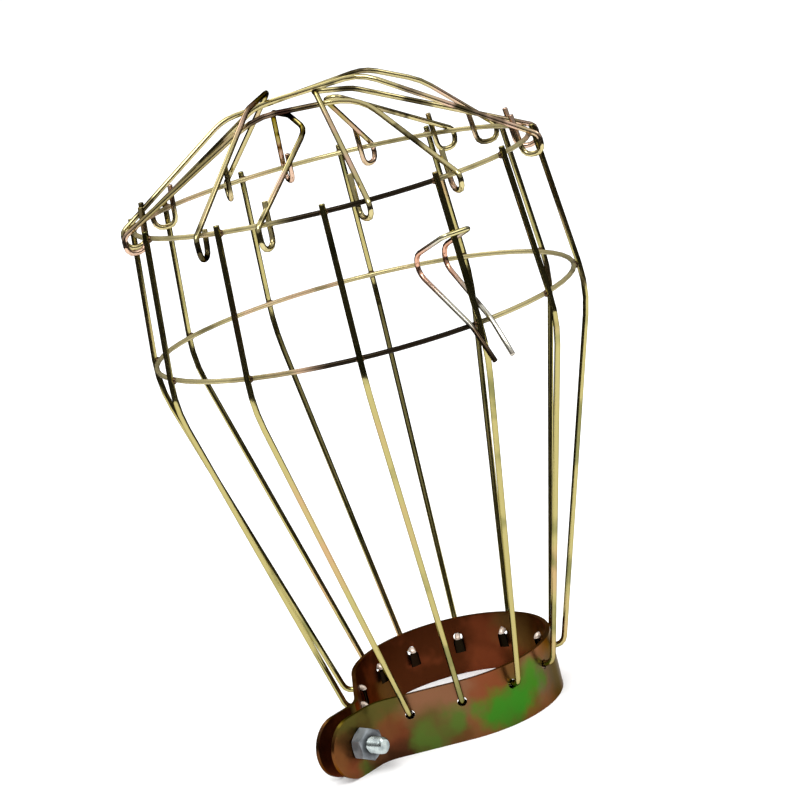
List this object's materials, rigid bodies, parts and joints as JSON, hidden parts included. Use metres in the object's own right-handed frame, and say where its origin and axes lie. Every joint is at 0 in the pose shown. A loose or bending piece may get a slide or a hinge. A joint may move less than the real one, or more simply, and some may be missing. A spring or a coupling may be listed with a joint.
{
  "type": "bulb cage guard",
  "caption": "Bulb guard of bent wire: ribs and hoops topped by a dome of hooked wires, on a strap collar that a screw clamps round a lamp holder, with a wire clip on one rib.",
  "frame": {"origin": "on the axis of the clamp collar, at the strap's lower edge", "axes": "+Z along the cage, from the collar to the dome; -X along the collar's two ears"},
  "size_m": [0.1018, 0.1074, 0.1542],
  "materials": {
    "yellow_zinc_wire": "gloss",
    "tinted_strap": "satin",
    "bright_zinc": "gloss"
  },
  "bodies": {
    "cage": {"collar_strap": "tinted_strap", "clamp_screw": "bright_zinc", "clamp_nut": "bright_zinc", "rib_01": "yellow_zinc_wire", "rib_02": "yellow_zinc_wire", "rib_03": "yellow_zinc_wire", "rib_04": "yellow_zinc_wire", "rib_05": "yellow_zinc_wire", "rib_06": "yellow_zinc_wire", "rib_07": "yellow_zinc_wire", "rib_08": "yellow_zinc_wire", "rib_09": "yellow_zinc_wire", "rib_10": "yellow_zinc_wire", "rib_11": "yellow_zinc_wire", "rib_12": "yellow_zinc_wire", "lower_ring": "yellow_zinc_wire", "upper_ring": "yellow_zinc_wire", "dome_wire_front": "yellow_zinc_wire", "dome_wire_left": "yellow_zinc_wire", "dome_wire_centre": "yellow_zinc_wire", "dome_wire_right": "yellow_zinc_wire", "dome_wire_rear_cross": "yellow_zinc_wire", "dome_wire_rear_top": "yellow_zinc_wire", "dome_wire_rear_right": "yellow_zinc_wire"},
    "clip": {"wire_clip": "yellow_zinc_wire"}
  },
  "joints": [
    {"name": "clip_swing", "type": "hinge", "parent": "cage", "child": "clip", "pos_m": [-0.01499, -0.04843, 0.1198], "axis": [-0.9553, 0.2957, 0], "range_deg": [0, 55]}
  ]
}
